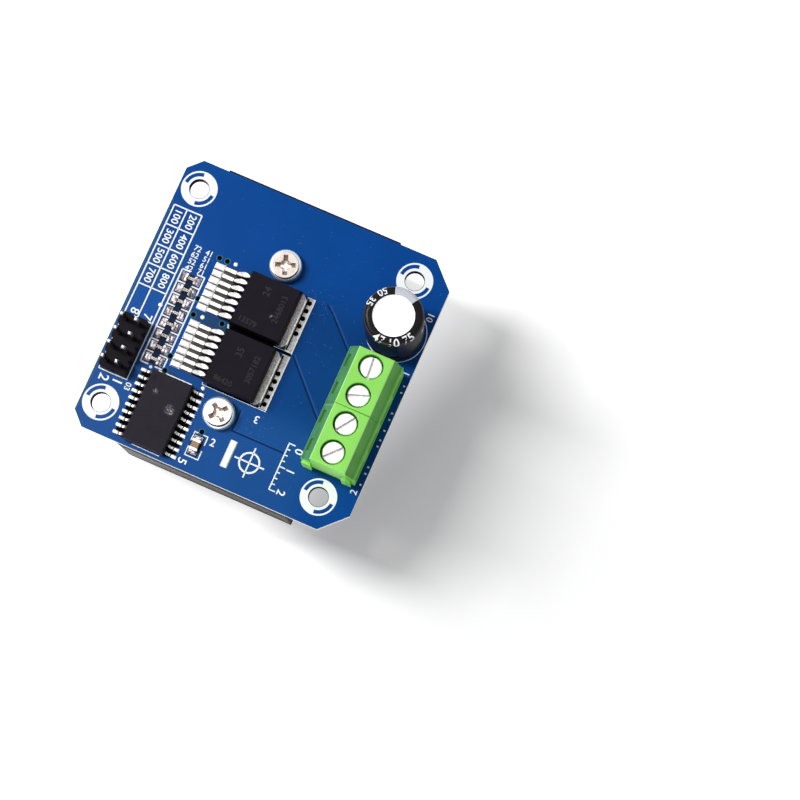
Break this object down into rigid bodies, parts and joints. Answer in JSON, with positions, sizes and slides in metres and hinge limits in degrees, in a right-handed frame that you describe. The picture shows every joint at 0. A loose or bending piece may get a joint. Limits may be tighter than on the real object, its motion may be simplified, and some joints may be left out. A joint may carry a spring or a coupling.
{
  "type": "dc motor driver module",
  "caption": "Blue motor driver circuit board with power chips, a pin header, a capacitor and green screw terminals, bolted onto a black finned heatsink.",
  "frame": {"origin": "centre of the four fixing holes, at the underside of the circuit board", "axes": "+Z out of the component side, +X towards the terminal blocks, +Y along the heatsink's width"},
  "size_m": [0.0497, 0.0506, 0.0424],
  "materials": {
    "board_blue": "blue solder resist, semi-gloss",
    "anodised_black": "black anodised extrusion, satin",
    "pad_grey": "matt silicone sheet",
    "screw_nickel": "nickel-plated steel, slightly warm",
    "can_aluminium": "bright drawn aluminium",
    "sleeve_black": "glossy shrunk film",
    "seal_rubber": "matt rubber",
    "tinned_metal": "tin-plated, bright",
    "chip_black": "moulded epoxy, fine grain",
    "resistor_black": "overglaze on ceramic",
    "ceramic_brown": "fired ceramic, satin",
    "terminal_green": "moulded, semi-matt",
    "terminal_zinc": "zinc-plated steel",
    "header_black": "moulded, matt",
    "pin_tin": "bright tin over brass",
    "solder": "solder, bright and uneven"
  },
  "bodies": {
    "module": {"circuit_board": "board_blue", "heatsink": "anodised_black", "thermal_pad": "pad_grey", "heatsink_screws": "screw_nickel", "capacitor_can": "can_aluminium", "capacitor_sleeve": "sleeve_black", "capacitor_seal": "seal_rubber", "capacitor_lead_1": "tinned_metal", "capacitor_lead_2": "tinned_metal", "logic_chip_body": "chip_black", "logic_chip_leads": "tinned_metal", "ceramic_capacitor": "ceramic_brown", "ceramic_capacitor_ends": "tinned_metal", "header_base": "header_black", "terminal_solder": "solder", "underside_solder": "solder", "driver_1_body": "chip_black", "driver_1_tab": "tinned_metal", "driver_1_leads": "tinned_metal", "terminal_housing_1": "terminal_green", "driver_2_body": "chip_black", "driver_2_tab": "tinned_metal", "driver_2_leads": "tinned_metal", "terminal_housing_2": "terminal_green", "resistor_1": "resistor_black", "resistor_1_ends": "tinned_metal", "header_pin_1": "pin_tin", "resistor_2": "resistor_black", "resistor_2_ends": "tinned_metal", "header_pin_2": "pin_tin", "resistor_3": "resistor_black", "resistor_3_ends": "tinned_metal", "header_pin_3": "pin_tin", "resistor_4": "resistor_black", "resistor_4_ends": "tinned_metal", "header_pin_4": "pin_tin", "resistor_5": "resistor_black", "resistor_5_ends": "tinned_metal", "header_pin_5": "pin_tin", "resistor_6": "resistor_black", "resistor_6_ends": "tinned_metal", "header_pin_6": "pin_tin", "resistor_7": "resistor_black", "resistor_7_ends": "tinned_metal", "header_pin_7": "pin_tin", "resistor_8": "resistor_black", "resistor_8_ends": "tinned_metal", "header_pin_8": "pin_tin", "clamp_box_1": "terminal_zinc", "clamp_box_2": "terminal_zinc", "clamp_box_3": "terminal_zinc", "clamp_box_4": "terminal_zinc"},
    "plate_1": {"pressure_plate_1": "terminal_zinc"},
    "screw_1": {"terminal_screw_1": "terminal_zinc"},
    "plate_2": {"pressure_plate_2": "terminal_zinc"},
    "screw_2": {"terminal_screw_2": "terminal_zinc"},
    "plate_3": {"pressure_plate_3": "terminal_zinc"},
    "screw_3": {"terminal_screw_3": "terminal_zinc"},
    "plate_4": {"pressure_plate_4": "terminal_zinc"},
    "screw_4": {"terminal_screw_4": "terminal_zinc"}
  },
  "joints": [
    {"name": "plate_slide_1", "type": "slide", "parent": "module", "child": "plate_1", "axis": [0, 0, -1], "range_m": [0, 0.00225]},
    {"name": "screw_turn_1", "type": "hinge", "parent": "plate_1", "child": "screw_1", "pos_m": [0.02017, 0.0019, 0.0065], "axis": [0, 0, -1], "range_deg": [0, 1800]},
    {"name": "plate_slide_2", "type": "slide", "parent": "module", "child": "plate_2", "axis": [0, 0, -1], "range_m": [0, 0.00225]},
    {"name": "screw_turn_2", "type": "hinge", "parent": "plate_2", "child": "screw_2", "pos_m": [0.02017, -0.00318, 0.0065], "axis": [0, 0, -1], "range_deg": [0, 1800]},
    {"name": "plate_slide_3", "type": "slide", "parent": "module", "child": "plate_3", "axis": [0, 0, -1], "range_m": [0, 0.00225]},
    {"name": "screw_turn_3", "type": "hinge", "parent": "plate_3", "child": "screw_3", "pos_m": [0.02017, -0.00826, 0.0065], "axis": [0, 0, -1], "range_deg": [0, 1800]},
    {"name": "plate_slide_4", "type": "slide", "parent": "module", "child": "plate_4", "axis": [0, 0, -1], "range_m": [0, 0.00225]},
    {"name": "screw_turn_4", "type": "hinge", "parent": "plate_4", "child": "screw_4", "pos_m": [0.02017, -0.01334, 0.0065], "axis": [0, 0, -1], "range_deg": [0, 1800]}
  ],
  "couplings": [
    {"joint": "screw_turn_1", "follows": "plate_slide_1", "rad_per_m": 13963},
    {"joint": "screw_turn_2", "follows": "plate_slide_2", "rad_per_m": 13963},
    {"joint": "screw_turn_3", "follows": "plate_slide_3", "rad_per_m": 13963},
    {"joint": "screw_turn_4", "follows": "plate_slide_4", "rad_per_m": 13963}
  ]
}
